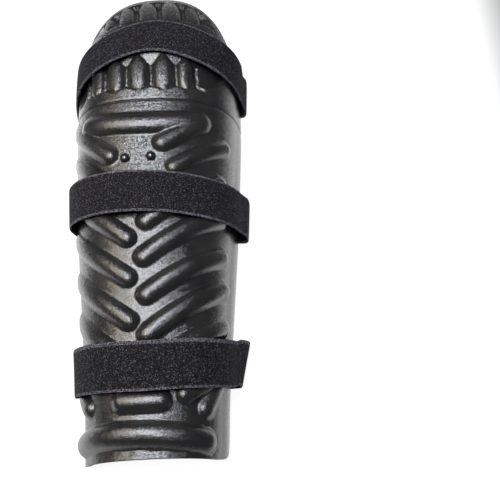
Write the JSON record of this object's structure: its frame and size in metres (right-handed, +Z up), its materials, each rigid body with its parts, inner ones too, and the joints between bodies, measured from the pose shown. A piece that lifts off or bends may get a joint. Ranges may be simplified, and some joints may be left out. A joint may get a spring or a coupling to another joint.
{
  "type": "riot shin and knee guard",
  "caption": "Moulded black shin and knee guard with chevron ribs, a knee crease, an open hollow behind and wide fabric straps around it.",
  "frame": {"origin": "middle of the bounding box on the surface it lies on", "axes": "+Z up out of the front of the guard, +Y towards the knee end, +X to the right as seen in the picture"},
  "size_m": [0.1825, 0.4841, 0.0818],
  "materials": {
    "shell": "semi-gloss black with a fine leather grain",
    "rivet": "smooth glossy black",
    "strap": "brushed black loop fabric"
  },
  "bodies": {
    "root": {"shell": "shell", "rivet_left": "rivet", "rivet_right": "rivet", "strap_bottom": "strap", "strap_middle": "strap", "strap_top": "strap"}
  },
  "joints": []
}
